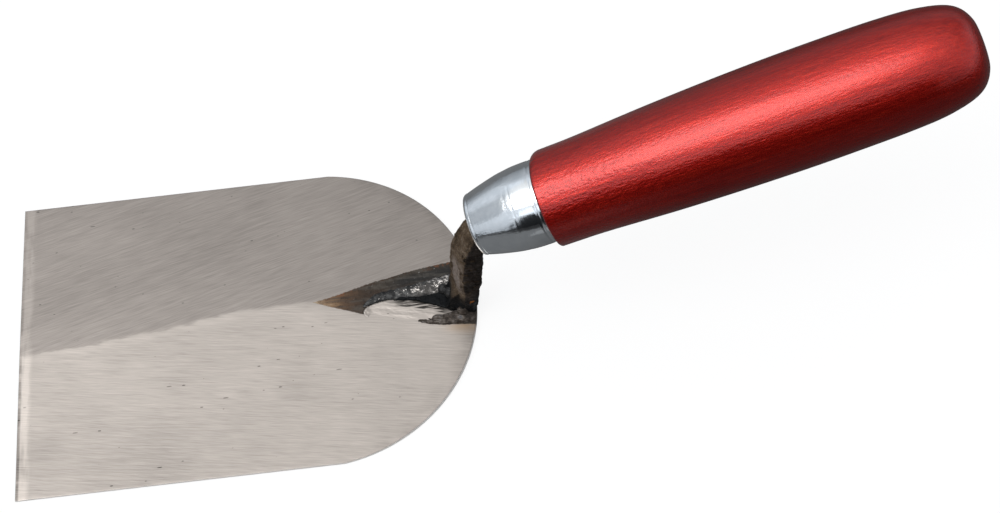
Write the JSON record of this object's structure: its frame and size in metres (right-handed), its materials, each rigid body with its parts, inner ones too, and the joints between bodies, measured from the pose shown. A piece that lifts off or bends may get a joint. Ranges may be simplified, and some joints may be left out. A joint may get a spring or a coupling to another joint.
{
  "type": "brick trowel",
  "caption": "Hand trowel with a thin ground-steel blade, square in front and rounded at the heel, a welded swan-neck tang, a plated ferrule and a turned, lacquered wooden handle.",
  "frame": {"origin": "centre of the arc of the blade's rounded heel, on the blade's flat underside, 91.2 mm behind the front edge", "axes": "+X runs along the blade from its front edge to the handle, +Z is the blade's upper side, where the handle is, and +Y is to the left when looking along +X"},
  "size_m": [0.2869, 0.1, 0.1025],
  "materials": {
    "ground_steel": "belt-ground steel with fine scratches, bare",
    "forge_scale": "brown-black forge scale, rough",
    "weld_metal": "oxidised weld metal with bright flecks",
    "plated_steel": "bright zinc or nickel plating on drawn sheet steel",
    "lacquered_wood": "turned hardwood under semi-gloss deep red lacquer"
  },
  "bodies": {
    "root": {"blade": "ground_steel", "tang": "forge_scale", "weld_far": "weld_metal", "weld_ground": "ground_steel", "weld_heel": "weld_metal", "ferrule": "plated_steel", "handle": "lacquered_wood"}
  },
  "joints": []
}
